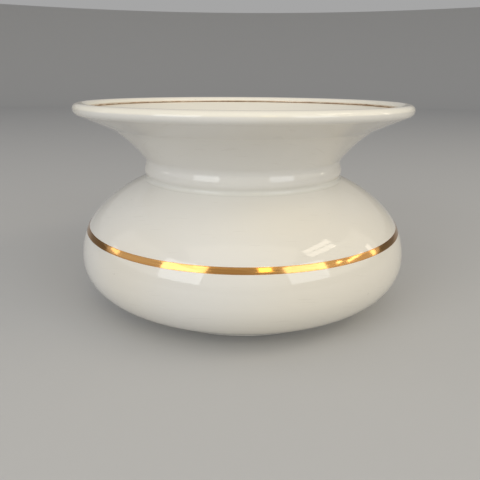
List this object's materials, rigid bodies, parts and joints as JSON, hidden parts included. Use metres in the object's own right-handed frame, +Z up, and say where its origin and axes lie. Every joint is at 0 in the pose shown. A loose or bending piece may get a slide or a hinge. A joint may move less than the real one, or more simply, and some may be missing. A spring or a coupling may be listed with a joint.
{
  "type": "porcelain vase",
  "caption": "Squat white porcelain vase of cuspidor form: bowl on a low foot ring, beaded collar, wide trumpet rim with rolled lip, gilt band and gilt lip line.",
  "frame": {"origin": "centre of the foot ring's resting face", "axes": "+Z up along the axis of revolution; X and Y are equal"},
  "size_m": [0.206, 0.206, 0.1236],
  "materials": {
    "white_glaze": "gloss",
    "bare_foot": "matte",
    "gilding": "satin"
  },
  "bodies": {
    "root": {"foot_ring": "bare_foot", "lower_bowl": "white_glaze", "shoulder": "white_glaze", "neck_collar": "white_glaze", "flared_rim": "white_glaze", "shoulder_gold_band": "gilding", "rim_gold_line": "gilding"}
  },
  "joints": []
}
